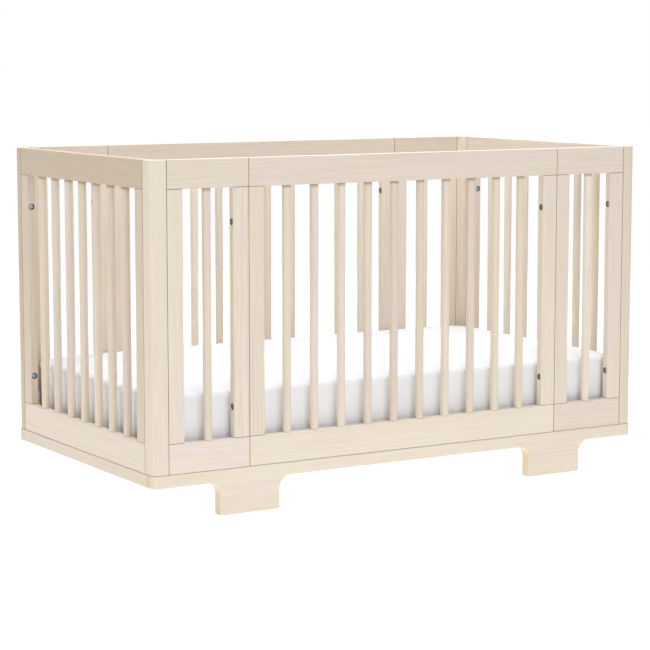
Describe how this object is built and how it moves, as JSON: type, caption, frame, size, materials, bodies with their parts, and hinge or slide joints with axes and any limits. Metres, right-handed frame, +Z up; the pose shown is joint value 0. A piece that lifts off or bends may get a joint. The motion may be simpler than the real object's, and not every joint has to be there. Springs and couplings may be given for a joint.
{
  "type": "baby crib",
  "caption": "Rectangular baby crib with rounded corner posts, round-slatted sides, a footed base rail and a mattress on a height-adjustable support.",
  "frame": {"origin": "on the floor under the middle of the crib, at the level of the feet's undersides", "axes": "+X to the right along the length, +Y from the front towards the rear, +Z up"},
  "size_m": [1.378, 0.762, 0.82],
  "materials": {
    "wood": "pale whitewashed softwood, satin lacquer",
    "mattress_cover": "smooth white woven cover, matt",
    "support_paint": "light grey powder coat, satin",
    "hardware_steel": "bright zinc plate"
  },
  "bodies": {
    "crib": {"base_front_rail": "wood", "base_rear_rail": "wood", "base_left_rail": "wood", "base_right_rail": "wood", "post_front_left": "wood", "post_front_right": "wood", "post_rear_right": "wood", "post_rear_left": "wood", "front_left_panel_frame": "wood", "front_centre_panel_frame": "wood", "front_right_panel_frame": "wood", "rear_left_panel_frame": "wood", "rear_centre_panel_frame": "wood", "rear_right_panel_frame": "wood", "left_end_panel_frame": "wood", "right_end_panel_frame": "wood", "front_left_panel_slat_1": "wood", "front_centre_panel_slat_1": "wood", "front_centre_panel_slat_2": "wood", "front_centre_panel_slat_3": "wood", "front_centre_panel_slat_4": "wood", "front_centre_panel_slat_5": "wood", "front_centre_panel_slat_6": "wood", "front_centre_panel_slat_7": "wood", "front_centre_panel_slat_8": "wood", "front_centre_panel_slat_9": "wood", "front_centre_panel_slat_10": "wood", "front_right_panel_slat_1": "wood", "rear_left_panel_slat_1": "wood", "rear_centre_panel_slat_1": "wood", "rear_centre_panel_slat_2": "wood", "rear_centre_panel_slat_3": "wood", "rear_centre_panel_slat_4": "wood", "rear_centre_panel_slat_5": "wood", "rear_centre_panel_slat_6": "wood", "rear_centre_panel_slat_7": "wood", "rear_centre_panel_slat_8": "wood", "rear_centre_panel_slat_9": "wood", "rear_centre_panel_slat_10": "wood", "rear_right_panel_slat_1": "wood", "left_end_panel_slat_1": "wood", "left_end_panel_slat_2": "wood", "left_end_panel_slat_3": "wood", "left_end_panel_slat_4": "wood", "left_end_panel_slat_5": "wood", "left_end_panel_slat_6": "wood", "left_end_panel_slat_7": "wood", "right_end_panel_slat_1": "wood", "right_end_panel_slat_2": "wood", "right_end_panel_slat_3": "wood", "right_end_panel_slat_4": "wood", "right_end_panel_slat_5": "wood", "right_end_panel_slat_6": "wood", "right_end_panel_slat_7": "wood"},
    "mattress_support": {"mattress_support_frame": "support_paint", "support_bracket_front_left": "hardware_steel", "support_bracket_rear_left": "hardware_steel", "support_bracket_front_right": "hardware_steel", "support_bracket_rear_right": "hardware_steel"},
    "mattress": {"mattress": "mattress_cover"}
  },
  "joints": [
    {"name": "support_height", "type": "slide", "parent": "crib", "child": "mattress_support", "axis": [0, 0, 1], "range_m": [0, 0.315]},
    {"name": "mattress_lift", "type": "slide", "parent": "mattress_support", "child": "mattress", "axis": [0, 0, 1], "range_m": [0, 0.72]}
  ]
}
